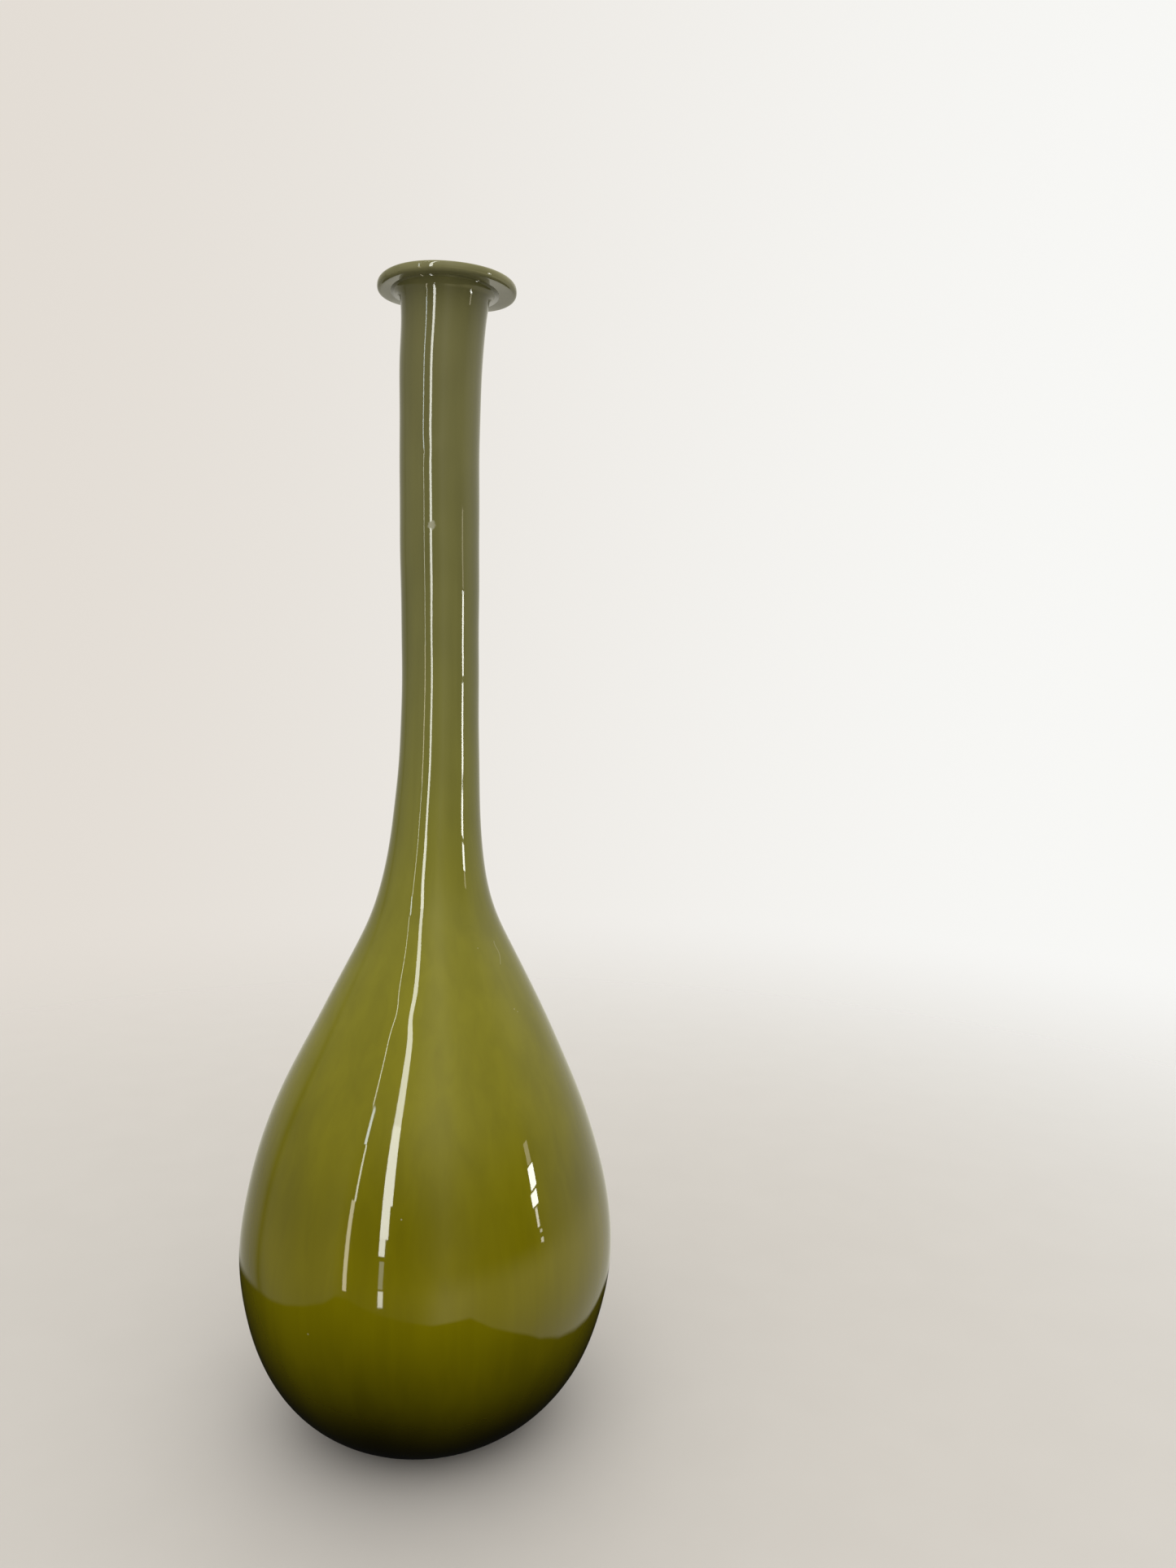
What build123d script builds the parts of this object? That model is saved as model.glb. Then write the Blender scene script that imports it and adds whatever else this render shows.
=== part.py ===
from build123d import *
from math import cos, hypot, radians, sin
import os

# Tall hand blown bottle vase in cased glass: a teardrop body, a long neck and a flat disc lip.
#
# Millimetres, +Z up. The origin is the centre of the flat that the vase stands on.
# The vase was blown free hand, so the centre of the neck wanders a little towards +X.
# Three separately gathered bits of glass are fused into it, and each is its own solid:
#   opal_lining   the inner bubble of white opal glass, from the floor to the top of the neck
#   olive_casing  the olive glass gathered over the lining, which is all of the outside below the lip
#   olive_lip     the disc of olive glass put on round the mouth, which covers the two cut edges

# Driving sizes
HEIGHT = 441.8
FOOT_RADIUS = 30.0
BODY_RADIUS = 72.9
NECK_RADIUS = 14.9
LIP_RADIUS = 26.1
LIP_THICKNESS = 3.7
NECK_TOP = HEIGHT - LIP_THICKNESS

# Outside of the casing, from the foot up: height, radius, and how far the centre has wandered to +X
OUTLINE = [
    (0.0, FOOT_RADIUS, 0.0),
    (2.0, 36.0, 0.0),
    (6.0, 43.6, 0.0),
    (14.0, 53.3, 0.0),
    (28.0, 63.3, 0.0),
    (48.0, 70.3, 0.0),
    (70.0, BODY_RADIUS, 0.0),
    (98.0, 69.2, 0.0),
    (126.0, 60.5, 0.0),
    (155.0, 47.3, 0.7),
    (185.0, 32.2, 0.9),
    (203.0, 23.8, 0.7),
    (222.0, 19.1, 0.9),
    (252.0, 16.1, 1.8),
    (290.0, NECK_RADIUS, 2.2),
    (340.0, 15.2, 1.4),
    (395.0, 15.4, 0.9),
    (420.0, 15.9, 1.5),
    (NECK_TOP, 17.0, 2.2),
]

# Just under the lip the outside of the casing turns out along part of a small arc
FLARE_RADIUS = 3.2
FLARE_TURN = 75.0
FLARE_STEPS = 3
FLARE_FOOT_RADIUS = 16.75

# Glass thickness: each layer is even up the wall and thickens into the base
CASING_WALL = 1.5
LINING_WALL = 1.7
CASING_BASE = 4.5
LINING_BASE = 4.0
BASE_BLEND = 45.0

# Shallow dish ground into the underside where the pontil rod was knocked off
DISH_RADIUS = 19.0
DISH_DEPTH = 1.6

# The lip disc sits a little off the centre of the neck
LIP_WANDER = 3.0
MOUTH_ROUNDING = 3.0
LIP_DISH = 0.6

# How far a cutting shape runs past the glass it cuts
OVERCUT = 1.0


def outward_normal(index):
    """Unit normal of the outline at one of its points, as (radial, vertical)."""
    below = OUTLINE[max(index - 1, 0)]
    above = OUTLINE[min(index + 1, len(OUTLINE) - 1)]
    rise = above[0] - below[0]
    spread = above[1] - below[1]
    length = hypot(rise, spread)
    return rise / length, -spread / length


def inset(wall, base):
    """The outline moved into the glass, by wall on the sides and by base at the foot."""
    moved = []
    for index, (height, radius, wander) in enumerate(OUTLINE):
        fade = max(0.0, 1.0 - height / BASE_BLEND)
        depth = wall + (base - wall) * fade**2
        radial, vertical = outward_normal(index)
        moved.append((height - depth * vertical, radius - depth * radial, wander))
    top_radius, top_wander = moved[-1][1:]
    moved[-1] = (NECK_TOP, top_radius, top_wander)
    return moved


def blown_solid(sections):
    """Smooth solid through level circles."""
    rings = []
    for height, radius, wander in sections:
        rings.append(Plane(origin=(wander, 0, height)) * Circle(radius))
    return loft(rings)


def flare():
    """Sections of the casing's outside from the neck out to the underside of the lip."""
    wander = OUTLINE[-1][2]
    foot_height = NECK_TOP - FLARE_RADIUS * sin(radians(FLARE_TURN))
    sections = []
    for step in range(FLARE_STEPS + 1):
        turn = radians(FLARE_TURN * step / FLARE_STEPS)
        height = foot_height + FLARE_RADIUS * sin(turn)
        radius = FLARE_FOOT_RADIUS + FLARE_RADIUS * (1 - cos(turn))
        sections.append((height, radius, wander))
    return sections


def pontil_dish():
    """The ball cap that is ground out of the underside."""
    ball_radius = (DISH_RADIUS**2 + DISH_DEPTH**2) / (2 * DISH_DEPTH)
    return Pos(0, 0, DISH_DEPTH - ball_radius) * Sphere(ball_radius)


def lip_disc(bore_radius, bore_wander):
    """Disc with a full round rim, dished towards a rounded mouth that meets the bore of the neck."""
    edge_radius = LIP_THICKNESS / 2
    rim_start = LIP_RADIUS - edge_radius
    mouth_radius = bore_radius + MOUTH_ROUNDING
    mouth_top = HEIGHT - LIP_DISH
    mouth_bottom = mouth_top - MOUTH_ROUNDING
    with BuildSketch(Plane.XZ) as disc:
        with BuildLine():
            Line((0, NECK_TOP), (rim_start, NECK_TOP))
            ThreePointArc((rim_start, NECK_TOP), (LIP_RADIUS, NECK_TOP + edge_radius), (rim_start, HEIGHT))
            Spline((rim_start, HEIGHT), (mouth_radius, mouth_top), tangents=[(-1, 0), (-1, 0)])
            Line((mouth_radius, mouth_top), (0, mouth_top))
            Line((0, mouth_top), (0, NECK_TOP))
        make_face()
    disc_solid = Pos(LIP_WANDER, 0, 0) * revolve(disc.sketch, Axis.Z)

    cut_bottom = NECK_TOP - OVERCUT
    cut_top = HEIGHT + OVERCUT
    with BuildSketch(Plane.XZ) as mouth:
        with BuildLine():
            Line((0, cut_bottom), (bore_radius, cut_bottom))
            Line((bore_radius, cut_bottom), (bore_radius, mouth_bottom))
            RadiusArc((bore_radius, mouth_bottom), (mouth_radius, mouth_top), MOUTH_ROUNDING)
            Line((mouth_radius, mouth_top), (mouth_radius, cut_top))
            Line((mouth_radius, cut_top), (0, cut_top))
            Line((0, cut_top), (0, cut_bottom))
        make_face()
    mouth_cutter = Pos(bore_wander, 0, 0) * revolve(mouth.sketch, Axis.Z)
    return disc_solid - mouth_cutter


def main():
    lining_outside = inset(CASING_WALL, CASING_BASE)
    bore = inset(CASING_WALL + LINING_WALL, CASING_BASE + LINING_BASE)
    bore_radius, bore_wander = bore[-1][1:]
    lining_blank = blown_solid(lining_outside)
    pieces = {
        "olive_casing": blown_solid(OUTLINE[:-1] + flare()) - lining_blank - pontil_dish(),
        "opal_lining": lining_blank - blown_solid(bore),
        "olive_lip": lip_disc(bore_radius, bore_wander),
    }
    os.makedirs("parts", exist_ok=True)
    for name, piece in pieces.items():
        export_step(piece, f"parts/{name}.step")


main()
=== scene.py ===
import math

import bpy
import numpy as np
from mathutils import Matrix, Vector
from mathutils.bvhtree import BVHTree


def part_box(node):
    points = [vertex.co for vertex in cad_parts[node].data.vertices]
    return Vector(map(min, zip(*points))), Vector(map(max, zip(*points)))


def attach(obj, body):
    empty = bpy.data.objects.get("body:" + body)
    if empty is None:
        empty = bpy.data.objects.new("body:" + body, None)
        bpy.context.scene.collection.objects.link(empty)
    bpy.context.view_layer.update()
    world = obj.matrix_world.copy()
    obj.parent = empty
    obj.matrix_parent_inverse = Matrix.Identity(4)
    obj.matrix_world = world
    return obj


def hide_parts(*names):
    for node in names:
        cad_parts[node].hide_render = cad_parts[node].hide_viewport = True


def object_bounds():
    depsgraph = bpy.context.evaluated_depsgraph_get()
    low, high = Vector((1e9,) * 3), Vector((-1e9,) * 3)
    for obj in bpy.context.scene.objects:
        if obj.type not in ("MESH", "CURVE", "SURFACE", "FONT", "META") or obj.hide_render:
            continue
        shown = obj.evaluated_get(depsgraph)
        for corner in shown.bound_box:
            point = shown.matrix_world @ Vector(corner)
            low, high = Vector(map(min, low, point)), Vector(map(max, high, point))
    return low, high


# Looks of a hand blown cased glass bottle vase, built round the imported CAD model.
# Metres, +Z up, front at -Y.

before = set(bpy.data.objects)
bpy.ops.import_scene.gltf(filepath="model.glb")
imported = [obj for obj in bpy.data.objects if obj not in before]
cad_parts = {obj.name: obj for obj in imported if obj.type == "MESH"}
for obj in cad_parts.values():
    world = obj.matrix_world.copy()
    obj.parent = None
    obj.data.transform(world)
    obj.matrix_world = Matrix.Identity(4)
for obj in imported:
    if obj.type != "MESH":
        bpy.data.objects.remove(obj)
cad_low, cad_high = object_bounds()

MM = 0.001
UP = Vector((0, 0, 1))
HEIGHT = cad_high.z
LIP_LOW, LIP_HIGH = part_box("olive_lip")
NECK_TOP = LIP_LOW.z

# Mesh fineness: points round each ring, and the spacing of the rings up the visible and the hidden walls
AROUND = 240
ROW_SPACING = 1.7 * MM
HIDDEN_SPACING = 7.0 * MM


# ---------------------------------------------------------------- measuring the frame

# Rays that find the round of a wall at one height, and how far outside a piece a ray starts
RAYS = 60
RAY_START = 10 * MM

# Where a wall is probed: how far clear of its lower and its upper end, and at how many heights.
# The heights crowd towards the lower end, where the section turns quickest.
OUTSIDE_PROBES = (0.2 * MM, 6.0 * MM, 52)
CASING_INSIDE_PROBES = (0.2 * MM, 0.2 * MM, 40)
LINING_OUTSIDE_PROBES = (0.3 * MM, 0.2 * MM, 40)
BORE_PROBES = (0.3 * MM, 0.1 * MM, 46)
CROWDING = 1.9


def tree_of(node):
    """Ray casting tree of a CAD node."""
    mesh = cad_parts[node].data
    corners = [vertex.co for vertex in mesh.vertices]
    faces = [polygon.vertices for polygon in mesh.polygons]
    return BVHTree.FromPolygons(corners, faces)


def floor_of(tree):
    """Height of the floor of the cavity, on the axis."""
    return tree.ray_cast(UP * (HEIGHT / 2), -UP)[0].z


def circle_through(points):
    """Least squares circle as (centre x, centre y, radius)."""
    rows = np.c_[2 * points, np.ones(len(points))]
    squares = (points**2).sum(1)
    x, y, rest = np.linalg.lstsq(rows, squares, rcond=None)[0]
    return x, y, math.sqrt(rest + x * x + y * y)


def wall_ring(tree, height, centre, outside):
    """The round of a wall at one height, found from outside the vase or from its axis."""
    found = []
    for turn in np.linspace(0, 2 * math.pi, RAYS, endpoint=False):
        way = Vector((math.cos(turn), math.sin(turn), 0))
        start = Vector((centre[0], centre[1], height))
        if outside:
            start += way * HEIGHT
            way = -way
        hit = tree.ray_cast(start, way)[0]
        if hit is not None:
            found.append((hit.x, hit.y))
    return circle_through(np.array(found))


def wall(tree, heights, outside):
    """Rows of (height, radius, centre x, centre y) up a wall."""
    rows = []
    centre = (0.0, 0.0)
    for height in heights:
        x, y, radius = wall_ring(tree, height, centre, outside)
        centre = (x, y)
        rows.append((height, radius, x, y))
    return np.array(rows)


def probe_heights(low, high, probes):
    """Heights to probe a wall at, between its lower end and its upper end."""
    clear_low, clear_high, count = probes
    low += clear_low
    high -= clear_high
    return low + (high - low) * np.linspace(0, 1, count) ** CROWDING


def spline_slopes(knots, values):
    """Slopes at the knots of the natural cubic spline through values."""
    count = len(knots)
    step = np.diff(knots)
    left = np.zeros((count, count))
    right = np.zeros((count, values.shape[1]))
    rise = np.diff(values, axis=0) / step[:, None]
    left[0, 0], left[0, 1] = 2, 1
    left[-1, -1], left[-1, -2] = 2, 1
    right[0], right[-1] = 3 * rise[0], 3 * rise[-1]
    for k in range(1, count - 1):
        left[k, k - 1] = step[k]
        left[k, k] = 2 * (step[k - 1] + step[k])
        left[k, k + 1] = step[k - 1]
        right[k] = 3 * (step[k] * rise[k - 1] + step[k - 1] * rise[k])
    return np.linalg.solve(left, right)


def smoothed(rows, spacing):
    """The smooth curve through rows, as rows evenly spaced along it."""
    knots = np.r_[0, np.cumsum(np.linalg.norm(np.diff(rows[:, :2], axis=0), axis=1))]
    slopes = spline_slopes(knots, rows)
    at = np.linspace(0, knots[-1], max(3, int(knots[-1] / spacing)))
    k = np.clip(np.searchsorted(knots, at, side="right") - 1, 0, len(knots) - 2)
    width = (knots[k + 1] - knots[k])[:, None]
    t = (at - knots[k])[:, None] / width
    return (
        rows[k] * (1 + 2 * t) * (1 - t) ** 2
        + slopes[k] * width * t * (1 - t) ** 2
        + rows[k + 1] * t * t * (3 - 2 * t)
        + slopes[k + 1] * width * t * t * (t - 1)
    )


# ---------------------------------------------------------------- unevenness of hand work

# Slow waves of the wall, each as size, number of waves round, start and twist from foot to top in radians.
# Sizes are shares of the radius.
WALL_WAVES = [
    (0.0022, 2, 0.7, 3.0),
    (0.0012, 3, -1.9, 17.0),
    (0.0007, 5, 0.4, -31.0),
    (0.0005, 4, 0.0, 47.0),
]

# Faint rings left by turning: size, radians from foot to top, and how far they slant
RING_SIZE = 0.04 * MM
RING_PITCH = 83.0
RING_SLANT = 1.3

# Small hand marks: direction from +X, height, size, and how far they stand out
HAND_MARKS = [
    (math.radians(-105), 0.171, 5.0 * MM, 0.16 * MM),
    (math.radians(-99), 0.377, 3.5 * MM, 0.12 * MM),
    (math.radians(-112), 0.208, 6.0 * MM, -0.12 * MM),
]

# The wall is true at the foot and under the lip: its waves grow and die over these distances from them
FOOT_HOLD = (4 * MM, 50 * MM)
TOP_HOLD = (25 * MM, 4 * MM)

# The flare at the top of the casing, and the thin brim in which it runs out along the underside of the lip
FLARE_HEIGHT = 4.0 * MM
BRIM_DROP = 0.03 * MM
BRIM_STEPS = (0.5 * MM, 1.0 * MM, 1.5 * MM, 1.55 * MM)

# Waves of the lip, outward and upward, in the same form as the wall's but in metres. Its back tips up.
LIP_WAVES_OUT = [(0.25 * MM, 2, 0.9, 0.0), (0.15 * MM, 3, -0.5, 0.0)]
LIP_WAVES_UP = [(-0.5 * MM, 2, -0.2, 0.0), (0.3 * MM, 3, 1.3, 0.0)]
LIP_TILT = 0.8 * MM

# The lip's waves grow from nothing at the first radius to their full size at the second
LIP_SPREAD = (17 * MM, 26 * MM)


def fade(value, low, high):
    """0 below low, 1 above high, smooth between."""
    t = np.clip((value - low) / (high - low), 0, 1)
    return t * t * (3 - 2 * t)


def waves(table, turn, share=0.0):
    """Sum of a table of waves, at a turn round the vase and a share of its height."""
    return sum(
        size * np.cos(count * turn + start + twist * share) for size, count, start, twist in table
    )


def lip_ripple(turn, height, radius):
    """The disc tips up to the back and dips at two sides, and its rim is a little out of round."""
    spread = fade(radius, *LIP_SPREAD)
    out = waves(LIP_WAVES_OUT, turn)
    up = LIP_TILT * np.sin(turn) + waves(LIP_WAVES_UP, turn)
    return out * spread, up * spread


def blown_ripple(turn, height, radius):
    """Unevenness of glass shaped by hand. The flare of the casing follows the lip up and down."""
    share = height / HEIGHT
    out = radius * waves(WALL_WAVES, turn, share)
    out += RING_SIZE * np.cos(RING_PITCH * share + RING_SLANT * np.cos(turn))
    for mark_turn, mark_height, size, stand in HAND_MARKS:
        across = radius * np.sin(turn - mark_turn)
        near = np.exp(-(across**2 + (height - mark_height) ** 2) / size**2)
        out += stand * near * (np.cos(turn - mark_turn) > 0)
    grown = fade(height, *FOOT_HOLD)
    died = fade(height, NECK_TOP - TOP_HOLD[0], NECK_TOP - TOP_HOLD[1])
    under_lip = fade(height, NECK_TOP - FLARE_HEIGHT, NECK_TOP - BRIM_DROP)
    return out * grown * (1 - died), under_lip * lip_ripple(turn, height, radius)[1]


# ---------------------------------------------------------------- meshes

# Rings under the foot, as shares of its radius. They crowd at the edge of the ground dish.
FOOT_SHARES = (0.0, 0.25, 0.5, 0.62, 0.66, 0.7, 0.8, 0.9, 0.97)
FOOT_PROBE = 0.05 * MM

# The flare is probed from the first to the second distance below the top of the neck, at so many heights
FLARE_PROBES = (4.5 * MM, 0.05 * MM, 9)

# The hidden inside of the casing stands this far clear of the lining
LINING_CLEARANCE = 0.03 * MM

# Rings of the lip: along its underside, round its rim, over its top and into its mouth
UNDERSIDE_RINGS = 12
RIM_RINGS = 25
TOP_RINGS = 14
MOUTH_RINGS = 12

# The rim's section is a full round at 1 and squarer as this gets smaller
RIM_SQUARENESS = 0.8

# Rounding of the mouth, the least edge left under it, and the height in the lip at which its bore is probed
MOUTH_ROUNDING = 3.1 * MM
MOUTH_EDGE = 0.2 * MM
MOUTH_PROBE = 0.1 * MM


def lathe(name, rows, ripple, closed=False):
    """Mesh through rings of (height, radius, centre x, centre y). A ring of no radius at an end is a pole.
    ripple(turn, height, radius) gives how far each point stands out and up."""
    turns = np.linspace(0, 2 * math.pi, AROUND, endpoint=False)
    rows = np.asarray(rows, float)
    first_pole = int(not closed and rows[0, 1] == 0)
    last_pole = int(not closed and rows[-1, 1] == 0)
    rings = rows[first_pole : len(rows) - last_pole]
    turn, height = np.meshgrid(turns, rings[:, 0])
    radius = np.repeat(rings[:, 1:2], AROUND, axis=1)
    out, up = ripple(turn, height, radius)
    x = rings[:, 2:3] + (radius + out) * np.cos(turn)
    y = rings[:, 3:4] + (radius + out) * np.sin(turn)
    z = height + up
    points = np.c_[x.ravel(), y.ravel(), z.ravel()].tolist()
    faces = []
    count = len(rings)
    for row in range(count if closed else count - 1):
        a = row * AROUND
        b = (row + 1) % count * AROUND
        for k in range(AROUND):
            following = (k + 1) % AROUND
            faces.append((a + k, a + following, b + following, b + k))
    if first_pole:
        points.append((rows[0, 2], rows[0, 3], rows[0, 0]))
        pole = len(points) - 1
        faces += [(pole, (k + 1) % AROUND, k) for k in range(AROUND)]
    if last_pole:
        points.append((rows[-1, 2], rows[-1, 3], rows[-1, 0]))
        pole = len(points) - 1
        last = (count - 1) * AROUND
        faces += [(pole, last + k, last + (k + 1) % AROUND) for k in range(AROUND)]
    mesh = bpy.data.meshes.new(name)
    mesh.from_pydata(points, [], faces)
    mesh.update()
    for polygon in mesh.polygons:
        polygon.use_smooth = True
    piece = bpy.data.objects.new(name, mesh)
    bpy.context.scene.collection.objects.link(piece)
    return piece


def casing_rows():
    """Section of the casing: under the foot, up the outside, across the top and down the inside."""
    tree = tree_of("olive_casing")
    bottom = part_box("olive_casing")[0].z
    foot_radius, foot_x, foot_y = wall(tree, [bottom + FOOT_PROBE], True)[0][1:]
    rows = []
    for share in FOOT_SHARES:
        reach = share * foot_radius
        hit = tree.ray_cast(Vector((foot_x + reach, foot_y, bottom - RAY_START)), UP)[0]
        rows.append((hit.z, reach, foot_x, foot_y))
    flare_foot, flare_head, flare_count = FLARE_PROBES
    heights = np.r_[
        probe_heights(bottom, NECK_TOP, OUTSIDE_PROBES),
        np.linspace(NECK_TOP - flare_foot, NECK_TOP - flare_head, flare_count),
    ]
    outside = smoothed(wall(tree, heights, True), ROW_SPACING)
    edge = outside[-1]
    brim = [(NECK_TOP - BRIM_DROP, edge[1] + step, edge[2], edge[3]) for step in BRIM_STEPS]
    floor = floor_of(tree)
    inside = wall(tree, probe_heights(floor, NECK_TOP, CASING_INSIDE_PROBES), False)
    inside = smoothed(inside, HIDDEN_SPACING)[::-1]
    inside[:, 1] += LINING_CLEARANCE
    return np.vstack([rows, outside, brim, inside, [(floor, 0.0, 0.0, 0.0)]])


def lining_rows():
    """Section of the lining: under its floor, up against the casing, across the top and down the bore."""
    casing = tree_of("olive_casing")
    lining = tree_of("opal_lining")
    low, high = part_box("opal_lining")
    floor = floor_of(lining)
    outside = wall(casing, probe_heights(low.z, high.z, LINING_OUTSIDE_PROBES), False)
    outside = smoothed(outside, HIDDEN_SPACING)
    bore = wall(lining, probe_heights(floor, high.z, BORE_PROBES), False)
    bore = smoothed(bore, ROW_SPACING)[::-1]
    return np.vstack([[(low.z, 0.0, 0.0, 0.0)], outside, bore, [(floor, 0.0, 0.0, 0.0)]])


def lip_rows():
    """Closed section of the lip: along its underside, round the rim, over the top and into the mouth."""
    tree = tree_of("olive_lip")
    edge = (LIP_HIGH.z - LIP_LOW.z) / 2
    centre = (LIP_LOW + LIP_HIGH) / 2
    rim_start = (LIP_HIGH.x - LIP_LOW.x) / 2 - edge
    bore_x, bore_y, bore_radius = wall_ring(tree, NECK_TOP + MOUTH_PROBE, (0, 0), False)
    mouth = bore_radius + MOUTH_ROUNDING

    def row(height, radius):
        """The centre slides from the bore's to the disc's own as the ring widens."""
        share = min(1.0, (radius - bore_radius) / (rim_start - bore_radius))
        return (
            height,
            radius,
            bore_x + (centre.x - bore_x) * share,
            bore_y + (centre.y - bore_y) * share,
        )

    rows = [row(LIP_LOW.z, radius) for radius in np.linspace(bore_radius, rim_start, UNDERSIDE_RINGS)]
    for turn in np.radians(np.linspace(-90, 90, RIM_RINGS))[1:]:
        rise = math.copysign(abs(math.sin(turn)) ** RIM_SQUARENESS, turn)
        reach = abs(math.cos(turn)) ** RIM_SQUARENESS
        rows.append(row(centre.z + edge * rise, rim_start + edge * reach))
    for radius in np.linspace(rim_start, mouth, TOP_RINGS)[1:]:
        x, y = row(0, radius)[2:]
        hit = tree.ray_cast(Vector((x + radius, y, HEIGHT + RAY_START)), -UP)[0]
        rows.append(row(hit.z, radius))
    top = rows[-1][0]
    drop = min(MOUTH_ROUNDING, top - LIP_LOW.z - MOUTH_EDGE)
    for turn in np.radians(np.linspace(0, 90, MOUTH_RINGS))[1:]:
        rows.append(row(top - drop * (1 - math.cos(turn)), mouth - MOUTH_ROUNDING * math.sin(turn)))
    return np.array(rows)


# ---------------------------------------------------------------- materials

GLASS_IOR = 1.5

# Most of a noise texture's values lie between these
NOISE_SPAN = (0.3, 0.7)


class Nodes:
    """Short calls for building the node tree of a material or a world."""

    def __init__(self, owner, output="ShaderNodeOutputMaterial"):
        if isinstance(owner, str):
            owner = bpy.data.materials.new(owner)
        self.owner = owner
        owner.use_nodes = True
        self.tree = owner.node_tree
        self.tree.nodes.clear()
        self.output = self.tree.nodes.new(output)

    def set(self, socket, value):
        if isinstance(value, bpy.types.NodeSocket):
            self.tree.links.new(value, socket)
        elif value is not None:
            socket.default_value = value

    def add(self, kind, inputs=(), **settings):
        node = self.tree.nodes.new(kind)
        for key, value in settings.items():
            setattr(node, key, value)
        for key, value in dict(inputs).items():
            self.set(node.inputs[key], value)
        return node

    def math(self, operation, a, b=None, c=None):
        node = self.add("ShaderNodeMath", operation=operation)
        for socket, value in zip(node.inputs, (a, b, c)):
            self.set(socket, value)
        return node.outputs[0]

    def range(self, value, low, high, to_low=0.0, to_high=1.0):
        """value carried smoothly from the span low..high to to_low..to_high, and held beyond the ends."""
        node = self.add(
            "ShaderNodeMapRange",
            {"Value": value, "From Min": low, "From Max": high, "To Min": to_low, "To Max": to_high},
        )
        node.interpolation_type = "SMOOTHSTEP"
        return node.outputs["Result"]

    def mix(self, factor, a, b, blend="MIX"):
        node = self.add("ShaderNodeMix", data_type="RGBA", blend_type=blend)
        self.set(node.inputs["Factor"], factor)
        self.set(node.inputs["A"], a)
        self.set(node.inputs["B"], b)
        return node.outputs["Result"]

    def ramp(self, factor, stops, interpolation="B_SPLINE"):
        node = self.add("ShaderNodeValToRGB", {"Fac": factor})
        node.color_ramp.interpolation = interpolation
        elements = node.color_ramp.elements
        while len(elements) < len(stops):
            elements.new(1.0)
        for element, (place, colour) in zip(elements, stops):
            element.position = place
            element.color = (*colour, 1.0)
        return node.outputs["Color"]

    def place(self):
        """Point on the surface, in metres."""
        return self.add("ShaderNodeTexCoord").outputs["Object"]

    def noise(self, stretch, detail=3.0, roughness=0.5, distortion=0.0):
        """Noise with about this many features to a metre along each axis."""
        mapping = self.add("ShaderNodeMapping", {"Vector": self.place(), "Scale": stretch})
        node = self.add(
            "ShaderNodeTexNoise",
            {
                "Vector": mapping.outputs["Vector"],
                "Scale": 1.0,
                "Detail": detail,
                "Roughness": roughness,
                "Distortion": distortion,
            },
        )
        return node.outputs["Fac"]

    def lightened(self, colour, value):
        node = self.add("ShaderNodeHueSaturation", {"Color": colour, "Value": value})
        return node.outputs["Color"]

    def bump(self, height, strength, distance):
        node = self.add("ShaderNodeBump", {"Height": height, "Strength": strength, "Distance": distance})
        return node.outputs["Normal"]

    def glass(self, colour, roughness, normal=None):
        shader = self.add(
            "ShaderNodeBsdfPrincipled",
            {"Base Color": colour, "Roughness": roughness, "IOR": GLASS_IOR, "Normal": normal},
        )
        return self.finish(shader)

    def mix_shader(self, factor, a, b):
        return self.add("ShaderNodeMixShader", {0: factor, 1: a.outputs[0], 2: b.outputs[0]})

    def finish(self, shader):
        self.tree.links.new(shader.outputs[0], self.output.inputs["Surface"])
        return self.owner


# Colour of the casing by share of the height, and how far its bands wander up and down. Towards the foot it
# falls to nearly black. Part of that is the thick glass of the base, and part is painted shade where a dark
# stand kept light off it. There is also a darker band about a quarter of the way up.
OLIVE_AND_BASE_SHADE_BY_HEIGHT = [
    (0.0, (0.003, 0.0026, 0.0001)),
    (0.045, (0.009, 0.0078, 0.0001)),
    (0.077, (0.045, 0.039, 0.0002)),
    (0.118, (0.118, 0.102, 0.0004)),
    (0.152, (0.142, 0.124, 0.0005)),
    (0.195, (0.169, 0.147, 0.0007)),
    (0.245, (0.124, 0.110, 0.0012)),
    (0.33, (0.187, 0.172, 0.0050)),
    (0.44, (0.179, 0.170, 0.0145)),
    (0.55, (0.161, 0.155, 0.0300)),
    (0.68, (0.149, 0.145, 0.0420)),
    (1.0, (0.136, 0.129, 0.0510)),
]
COLOUR_DRIFT = 0.06

# Noises of the casing, and how much its streaks and clouds lighten or darken it
DRIFT = {"stretch": (16, 16, 5), "detail": 2.0}
STREAKS = {"stretch": (150, 150, 6), "detail": 4.0, "roughness": 0.55, "distortion": 0.4}
CLOUDS = {"stretch": (38, 38, 22), "detail": 2.0}
SMUDGES = {"stretch": (60, 60, 45), "detail": 5.0, "roughness": 0.6, "distortion": 0.6}
SLOW_RELIEF = {"stretch": (34, 34, 11), "detail": 1.0}
FINE_RELIEF = {"stretch": (120, 120, 30), "detail": 0.0}
STREAK_DEPTH = 0.05
CLOUD_DEPTH = 0.07
FINE_SHARE = 0.05

# Roughness of clean glass and of smudged glass. Smudges come in over a span of their noise.
CASING_GLOSS = (0.02, 0.06)
LIP_GLOSS = (0.025, 0.08)
OPAL_GLOSS = (0.06, 0.2)
SMUDGE_SPAN = (0.45, 0.75)
OPAL_SMUDGE_SPAN = (0.4, 0.8)

# Strength and depth of the relief
CASING_RELIEF = (0.35, 0.4 * MM)
LIP_RELIEF = (0.3, 0.3 * MM)

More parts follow.
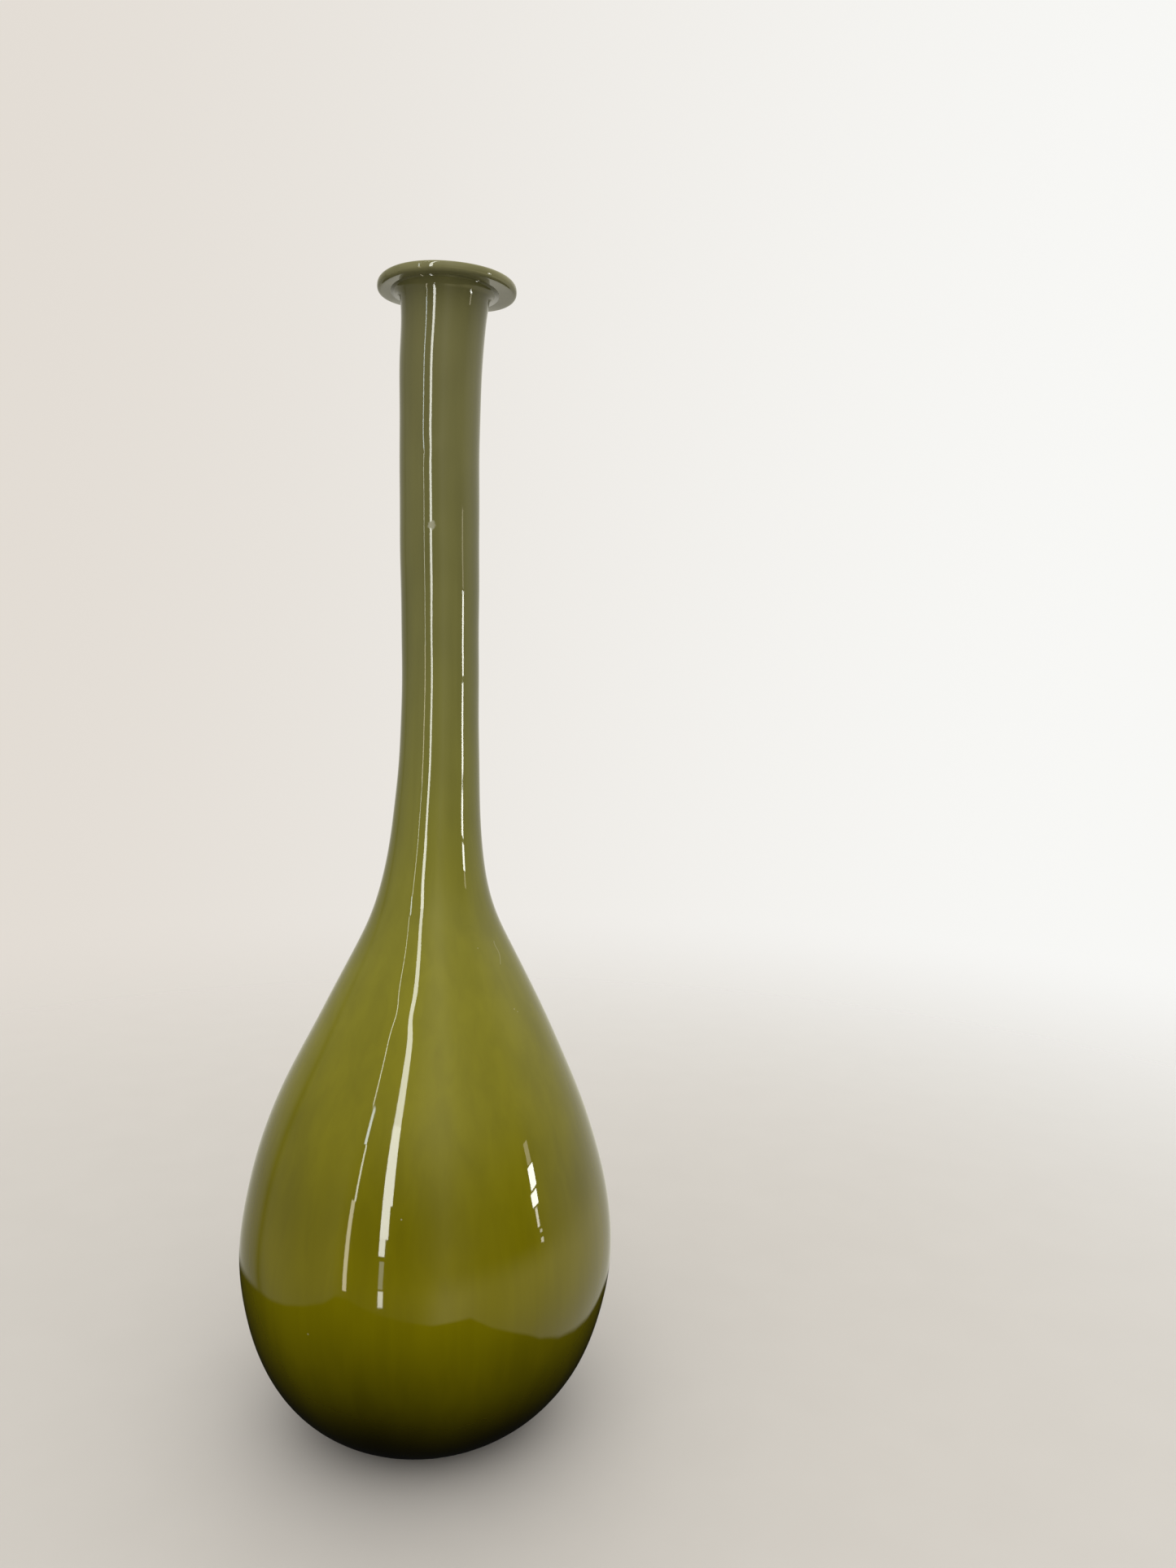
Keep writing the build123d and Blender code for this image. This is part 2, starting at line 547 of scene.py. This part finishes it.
# Marks of use: a rubbed spot on the neck and specks, as (centre, radius), and a scratch from its top to its
# foot as (x, height). They are paler and rougher than the glass.
RUB = ((-0.0019, -0.0149, 0.3493), 0.0019)
RUB_STRENGTH = 0.75
RUB_EDGE = {"stretch": (900, 900, 900), "detail": 2.0}
SPECKS = [
    ((0.0309, -0.0267, 0.1694), 0.0004),
    ((0.0322, -0.0261, 0.1682), 0.0003),
    ((0.0170, -0.0236, 0.1920), 0.0003),
    ((-0.0094, -0.0660, 0.1077), 0.0004),
    ((-0.0411, -0.0601, 0.0655), 0.0005),
]
SCRATCH_TOP = (0.0234, 0.1933)
SCRATCH_FOOT = (0.0258, 0.1850)
SCRATCH_WIDTH = 0.00022
MARK_COLOUR = (0.42, 0.40, 0.24, 1.0)
MARK_COVER = 0.3
MARK_ROUGHNESS = 0.45

# A mark is full out to this share of its radius. A wobbled edge takes off half the radius on average,
# so the mark starts that much larger.
MARK_CORE = 0.7
WOBBLE_ROOM = 1.5

# The lip's olive is lighter than the neck's. This is painted light, standing in for light from below on the
# lip's underside.
LIP_OLIVE_WITH_PAINTED_LIGHT = (0.183, 0.175, 0.078, 1.0)
LIP_CLOUD_DEPTH = 0.1
OPAL_GREENISH = (0.60, 0.63, 0.45)
OPAL_PALE = (0.72, 0.74, 0.58)


def spot(n, place, mark, wobble=None):
    """1 inside a small round mark on the surface, given as (centre, radius)."""
    centre, radius = mark
    far = n.add("ShaderNodeVectorMath", {0: place, 1: centre}, operation="DISTANCE").outputs["Value"]
    if wobble is not None:
        far = n.math("MULTIPLY_ADD", wobble, radius, far)
        radius *= WOBBLE_ROOM
    return n.range(far, radius, MARK_CORE * radius)


def scratch(n, x, y, z):
    """1 on a short hooked scratch on the right shoulder."""
    top_x, top_z = SCRATCH_TOP
    foot_x, foot_z = SCRATCH_FOOT
    left_to_go = n.math("SUBTRACT", 1.0, n.range(z, top_z, foot_z))
    along = n.math("SUBTRACT", 1.0, n.math("MULTIPLY", left_to_go, left_to_go))
    line = n.math("MULTIPLY_ADD", along, foot_x - top_x, top_x)
    off = n.math("ABSOLUTE", n.math("SUBTRACT", x, line))
    on = n.range(off, SCRATCH_WIDTH, 0.5 * SCRATCH_WIDTH)
    on = n.math("MULTIPLY", on, n.math("LESS_THAN", z, top_z))
    on = n.math("MULTIPLY", on, n.math("GREATER_THAN", z, foot_z))
    return n.math("MULTIPLY", on, n.math("LESS_THAN", y, 0.0))


def olive_glass():
    """Olive casing over opal, lightest where the bubble was blown thin and greyer up the neck. Its foot
    darkens to nearly black, partly for the thick glass there and partly as painted shade of a dark stand.
    """
    n = Nodes("olive_glass")
    place = n.place()
    x, y, z = n.add("ShaderNodeSeparateXYZ", {"Vector": place}).outputs
    drift = n.math("MULTIPLY_ADD", n.noise(**DRIFT), COLOUR_DRIFT, -COLOUR_DRIFT / 2)
    # The colour by height holds painted shade towards the foot
    colour = n.ramp(n.math("ADD", n.math("DIVIDE", z, HEIGHT), drift), OLIVE_AND_BASE_SHADE_BY_HEIGHT)
    streak = n.range(n.noise(**STREAKS), *NOISE_SPAN, -STREAK_DEPTH, STREAK_DEPTH)
    cloud = n.range(n.noise(**CLOUDS), *NOISE_SPAN, -CLOUD_DEPTH, CLOUD_DEPTH)
    colour = n.lightened(colour, n.math("ADD", n.math("ADD", streak, cloud), 1.0))

    marks = n.math("MULTIPLY", spot(n, place, RUB, n.noise(**RUB_EDGE)), RUB_STRENGTH)
    for speck in SPECKS:
        marks = n.math("MAXIMUM", marks, spot(n, place, speck))
    marks = n.math("MAXIMUM", marks, scratch(n, x, y, z))
    colour = n.mix(n.math("MULTIPLY", marks, MARK_COVER), colour, MARK_COLOUR)

    gloss = n.range(n.noise(**SMUDGES), *SMUDGE_SPAN, *CASING_GLOSS)
    roughness = n.math("MAXIMUM", gloss, n.math("MULTIPLY", marks, MARK_ROUGHNESS))
    relief = n.math("MULTIPLY_ADD", n.noise(**FINE_RELIEF), FINE_SHARE, n.noise(**SLOW_RELIEF))
    return n.glass(colour, roughness, n.bump(relief, *CASING_RELIEF))


def olive_lip_glass():
    """Thicker olive glass of the lip. Its colour is lighter than the neck's as painted light, standing in
    for the light from below that falls on its underside.
    """
    n = Nodes("olive_lip_glass")
    cloud = n.range(n.noise((110, 110, 110)), *NOISE_SPAN, 1 - LIP_CLOUD_DEPTH, 1 + LIP_CLOUD_DEPTH)
    # Lighter than the neck: painted light for the lip's underside
    colour = n.lightened(LIP_OLIVE_WITH_PAINTED_LIGHT, cloud)
    roughness = n.range(n.noise((80, 80, 80), 4.0), *SMUDGE_SPAN, *LIP_GLOSS)
    relief = n.noise((90, 90, 90), 1.0)
    return n.glass(colour, roughness, n.bump(relief, *LIP_RELIEF))


def opal_glass():
    """White opal lining, a little green where the casing's colour comes through."""
    n = Nodes("opal_glass")
    colour = n.ramp(n.noise((50, 50, 20)), list(zip(NOISE_SPAN, (OPAL_GREENISH, OPAL_PALE))))
    roughness = n.range(n.noise((90, 90, 30), 4.0), *OPAL_SMUDGE_SPAN, *OPAL_GLOSS)
    return n.glass(colour, roughness)


# ---------------------------------------------------------------- camera, light and floor

# Camera: where the eye is, how far it is turned from straight ahead in degrees, and its lens in millimetres
EYE_HEIGHT = 0.2851
EYE_DISTANCE = 0.4472
PAN = 7.73
TILT = -4.13
ROLL = 1.17
LENS = 26.15
SENSOR_WIDTH = 36.0

# Soft daylight on the surfaces: its colour, its strength, how much of it comes from the front, and how much
# is left of it from low down. It rises to full between two heights of a direction, 1 being straight up.
DAYLIGHT = (1.0, 0.975, 0.94, 1.0)
AMBIENT = 1.5
FRONT_SHARE = 0.5
LOW_DAYLIGHT = 0.36
DAYLIGHT_RISE = (0.1, 0.9)

# What the glass mirrors: glow by bearing in degrees from the front, positive to the right, near the horizon
# and high up. One passes into the other between two elevations, in degrees.
ROOM_LOW = [
    (-180, 0.85),
    (-150, 0.45),
    (-124, 0.28),
    (-118, 0.08),
    (-112, 0.25),
    (-95, 0.28),
    (-70, 0.24),
    (-56, 0.28),
    (-46, 0.06),
    (-14, 0.05),
    (-2, 0.14),
    (8, 0.32),
    (16, 0.20),
    (30, 0.08),
    (56, 0.03),
    (66, 0.06),
    (78, 0.32),
    (95, 0.50),
    (120, 0.60),
    (150, 0.65),
    (180, 0.85),
]
ROOM_HIGH = [
    (-180, 0.90),
    (-120, 0.32),
    (-70, 0.34),
    (-45, 0.26),
    (-20, 0.30),
    (6, 1.05),
    (22, 0.50),
    (45, 0.36),
    (70, 0.34),
    (100, 0.90),
    (140, 1.00),
    (180, 0.95),
]
ROOM_TURN = (4, 30)
ROOM_TINT = (1.0, 0.97, 0.85, 1.0)

# Warm floor of the room, low in front and to the right, which adds its glow below the horizon
ROOM_FLOOR = [
    (-180, 0.0),
    (-6, 0.0),
    (6, 0.65),
    (16, 0.8),
    (30, 0.5),
    (42, 0.45),
    (54, 0.8),
    (66, 0.75),
    (80, 0.4),
    (100, 0.25),
    (120, 0.2),
    (145, 0.0),
    (180, 0.0),
]
ROOM_FLOOR_TURN = (-6, -16)
ROOM_FLOOR_TINT = (1.0, 0.89, 0.45, 1.0)

# Below this elevation, by bearing, the glass mirrors the dark top of a stand, with a slightly soft edge
STAND_EDGE = [
    (-180, -25),
    (-150, -26),
    (-105, -27),
    (-91, -26),
    (-75, -23),
    (-61, -19),
    (-53, -15),
    (-47, -15),
    (-38, -17),
    (-16, -21),
    (2, -24),
    (24, -23),
    (39, -30),
    (56, -35),
    (77, -40),
    (97, -41),
    (115, -39),
    (130, -36),
    (150, -30),
    (180, -25),
]
STAND_BLUR = 1.0
STAND_GLOW = (0.007, 0.007, 0.007, 1.0)

# Pale background, from left to right between two values of x of a direction
BACKDROP_LEFT = (0.76, 0.71, 0.65, 1.0)
BACKDROP_RIGHT = (0.94, 0.94, 0.92, 1.0)
BACKDROP_SPAN = (-0.45, 0.6)

# Colours of light
CURTAIN = (1.0, 1.0, 0.94)
CURTAIN_GAP = (1.0, 1.0, 0.9)
SKY = (0.86, 0.95, 1.0)
PANE = (1.0, 1.0, 0.96)
GLINT = (1.0, 0.95, 0.85)
WARM = (1.0, 0.9, 0.7)

# Upright panels of light, which only reflections show: bearing, distance from the axis, heights of the foot
# and the head, width, brightness and colour
STRIP_AWAY = 2.0
WINDOW_AWAY = 3.9
PANELS = {
    "main_strip": (-26, STRIP_AWAY, 0.42, 1.1, 0.21, 11, CURTAIN),
    "main_strip_waist": (-26.5, STRIP_AWAY, 0.15, 0.42, 0.17, 11, CURTAIN),
    "main_strip_low": (-27.2, STRIP_AWAY, 0.0, 0.15, 0.12, 10, CURTAIN),
    "main_strip_dim": (-26.8, STRIP_AWAY, -0.27, -0.04, 0.09, 2.2, CURTAIN),
    "main_strip_foot": (-26.6, STRIP_AWAY, -0.48, -0.29, 0.10, 8, CURTAIN),
    "main_strip_high": (-26, STRIP_AWAY, 1.1, 6.0, 0.2, 9, CURTAIN),
    "thin_strip_high": (-49, STRIP_AWAY, 1.15, 6.0, 0.03, 8, CURTAIN_GAP),
    "thin_strip_glint": (-47, STRIP_AWAY, 0.8, 1.15, 0.07, 9, SKY),
    "thin_strip": (-46, STRIP_AWAY, 0.36, 0.8, 0.04, 8, CURTAIN_GAP),
    "thin_strip_low": (-47, STRIP_AWAY, -0.36, 0.36, 0.08, 6, WARM),
    "window_top": (69.5, WINDOW_AWAY, 0.68, 1.0, 0.24, 2.5, WARM),
    "window": (69.5, WINDOW_AWAY, 0.4, 0.66, 0.33, 16, PANE),
    "window_low": (68.5, WINDOW_AWAY, 0.2, 0.37, 0.34, 16, PANE),
    "window_foot": (68.3, WINDOW_AWAY, -0.14, 0.17, 0.12, 8, GLINT),
    "window_spot": (69.5, WINDOW_AWAY, -0.26, -0.2, 0.12, 5, GLINT),
    "window_spot_low": (69.7, WINDOW_AWAY, -0.46, -0.36, 0.14, 6, GLINT),
}

# Watts that give one square metre of panel a brightness of 1
AREA_GLOW = 4.0

# Reach of the dark square under the floor, and the radii within which the floor is solid and beyond which
# it is gone
STAND_REACH = 0.25
FLOOR_SOLID = 0.15
FLOOR_REACH = 1.1
FLOOR_ROUGHNESS = 0.6
SHADE_ROUGHNESS = 0.9


def make_camera():
    """Phone held in front of the vase, a little above its middle, with the vase left of centre."""
    data = bpy.data.cameras.new("camera")
    data.lens = LENS
    data.sensor_width = SENSOR_WIDTH
    data.clip_start = 10 * MM
    camera = bpy.data.objects.new("camera", data)
    bpy.context.scene.collection.objects.link(camera)
    place = Matrix.Translation((0, -EYE_DISTANCE, EYE_HEIGHT))
    pan = Matrix.Rotation(math.radians(-PAN), 4, "Z")
    tilt = Matrix.Rotation(math.radians(90 + TILT), 4, "X")
    roll = Matrix.Rotation(math.radians(ROLL), 4, "Z")
    camera.matrix_world = place @ pan @ tilt @ roll
    bpy.context.scene.camera = camera


def panel(name, bearing, away, foot, head, width, glow, colour):
    """Upright panel light that faces the axis of the vase."""
    turn = math.radians(bearing)
    outward = Vector((math.sin(turn), -math.cos(turn), 0))
    data = bpy.data.lights.new(name, "AREA")
    data.shape = "RECTANGLE"
    data.size = width
    data.size_y = head - foot
    data.energy = glow * AREA_GLOW * width * (head - foot)
    data.color = colour
    light = bpy.data.objects.new(name, data)
    bpy.context.scene.collection.objects.link(light)
    axes = Matrix((UP.cross(outward), UP, outward)).transposed()
    middle = outward * away + UP * (foot + head) / 2
    light.matrix_world = Matrix.Translation(middle) @ axes.to_4x4()
    light.visible_camera = False
    light.visible_diffuse = False


def by_bearing(n, turn, rows, interpolation="B_SPLINE"):
    """Grey by bearing, from rows of (bearing in degrees, grey). turn is 0 to 1 from behind to behind."""
    stops = [(0.5 + bearing / 360, (grey,) * 3) for bearing, grey in rows]
    return n.ramp(turn, stops, interpolation)


def make_world():
    """Even soft light for the surfaces, a dim room for the glass to mirror, and a pale plain background."""
    world = bpy.data.worlds.new("studio")
    bpy.context.scene.world = world
    n = Nodes(world, "ShaderNodeOutputWorld")
    way = n.add("ShaderNodeTexCoord").outputs["Generated"]
    x, y, z = n.add("ShaderNodeSeparateXYZ", {"Vector": way}).outputs
    turn = n.math("ARCTAN2", x, n.math("MULTIPLY", y, -1.0))
    turn = n.math("MULTIPLY_ADD", turn, 0.5 / math.pi, 0.5)
    rise = n.math("MULTIPLY", n.math("ARCSINE", z), 180 / math.pi)

    low = by_bearing(n, turn, ROOM_LOW, "LINEAR")
    high = by_bearing(n, turn, ROOM_HIGH)
    room = n.mix(n.range(rise, *ROOM_TURN), low, high)
    room = n.mix(1.0, room, ROOM_TINT, "MULTIPLY")
    floor = n.mix(1.0, by_bearing(n, turn, ROOM_FLOOR), ROOM_FLOOR_TINT, "MULTIPLY")
    room = n.mix(n.range(rise, *ROOM_FLOOR_TURN), room, floor, "ADD")
    drops = [(bearing, -elevation / 90) for bearing, elevation in STAND_EDGE]
    edge = n.math("MULTIPLY", by_bearing(n, turn, drops, "LINEAR"), -90.0)
    above = n.range(rise, n.math("ADD", edge, -STAND_BLUR), n.math("ADD", edge, STAND_BLUR))
    mirrored = n.mix(above, STAND_GLOW, room)

    squares = n.math("SUBTRACT", n.math("MULTIPLY", y, y), n.math("MULTIPLY", x, x))
    day = n.math("MULTIPLY_ADD", n.math("SUBTRACT", squares, y), FRONT_SHARE, 1.0)
    day = n.math("MULTIPLY", day, n.range(z, *DAYLIGHT_RISE, LOW_DAYLIGHT, 1.0))
    day = n.math("MULTIPLY", day, AMBIENT)
    backdrop = n.mix(n.range(x, *BACKDROP_SPAN), BACKDROP_LEFT, BACKDROP_RIGHT)

    daylight = n.add("ShaderNodeBackground", {"Color": DAYLIGHT, "Strength": day})
    seen_in_glass = n.add("ShaderNodeBackground", {"Color": mirrored})
    shown = n.add("ShaderNodeBackground", {"Color": backdrop})
    path = n.add("ShaderNodeLightPath").outputs
    lit = n.mix_shader(path["Is Glossy Ray"], daylight, seen_in_glass)
    n.finish(n.mix_shader(path["Is Camera Ray"], lit, shown))


def floor_paint():
    """Plain pale floor, solid round the vase and fading away further out."""
    n = Nodes("floor_paint")
    colours = ((0.54, 0.52, 0.49), (0.555, 0.535, 0.505))
    colour = n.ramp(n.noise((30, 30, 30), 4.0), list(zip(NOISE_SPAN, colours)))
    paint = n.add("ShaderNodeBsdfPrincipled", {"Base Color": colour, "Roughness": FLOOR_ROUGHNESS})
    distance = n.add("ShaderNodeVectorMath", {0: n.place()}, operation="LENGTH").outputs["Value"]
    gone = n.range(distance, FLOOR_SOLID, FLOOR_REACH)
    return n.finish(n.mix_shader(gone, paint, n.add("ShaderNodeBsdfTransparent")))


def dark_paint():
    """Nearly black, with a trace of grain."""
    n = Nodes("dark_paint")
    greys = ((0.010,) * 3, (0.014,) * 3)
    colour = n.ramp(n.noise((30, 30, 30)), list(zip(NOISE_SPAN, greys)))
    paint = n.add("ShaderNodeBsdfPrincipled", {"Base Color": colour, "Roughness": SHADE_ROUGHNESS})
    return n.finish(paint)


def level_square(name, reach, height, material):
    """Level square centred under the vase."""
    mesh = bpy.data.meshes.new(name)
    corners = [(x * reach, y * reach, height) for x, y in ((-1, -1), (1, -1), (1, 1), (-1, 1))]
    mesh.from_pydata(corners, [], [(0, 1, 2, 3)])
    square = bpy.data.objects.new(name, mesh)
    bpy.context.scene.collection.objects.link(square)
    square.data.materials.append(material)
    return square


def make_floor():
    """Pale floor that fades into the background. The glass is lit and mirrored as if it stood on a dark
    stand: no light comes back to it from the floor, and a dark square just under the floor keeps light off
    its base."""
    floor = level_square("floor", FLOOR_REACH, 0.0, floor_paint())
    floor.visible_glossy = False
    floor.visible_diffuse = False
    floor.visible_shadow = False
    shade = level_square("stand_shade", STAND_REACH, -1 * MM, dark_paint())
    shade.visible_camera = False
    shade.visible_glossy = False


# ---------------------------------------------------------------- building

def stand_for(piece, node, material):
    """Give a piece its material and put it in the place of a CAD node."""
    piece.data.materials.append(material)
    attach(piece, "root")
    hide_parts(node)


make_camera()
make_world()
make_floor()
for name, settings in PANELS.items():
    panel(name, *settings)

casing = lathe("casing_glass", casing_rows(), blown_ripple)
lining = lathe("lining_glass", lining_rows(), blown_ripple)
lip = lathe("lip_glass", lip_rows(), lip_ripple, closed=True)
stand_for(casing, "olive_casing", olive_glass())
stand_for(lining, "opal_lining", opal_glass())
stand_for(lip, "olive_lip", olive_lip_glass())

bpy.context.scene.view_settings.view_transform = "Standard"
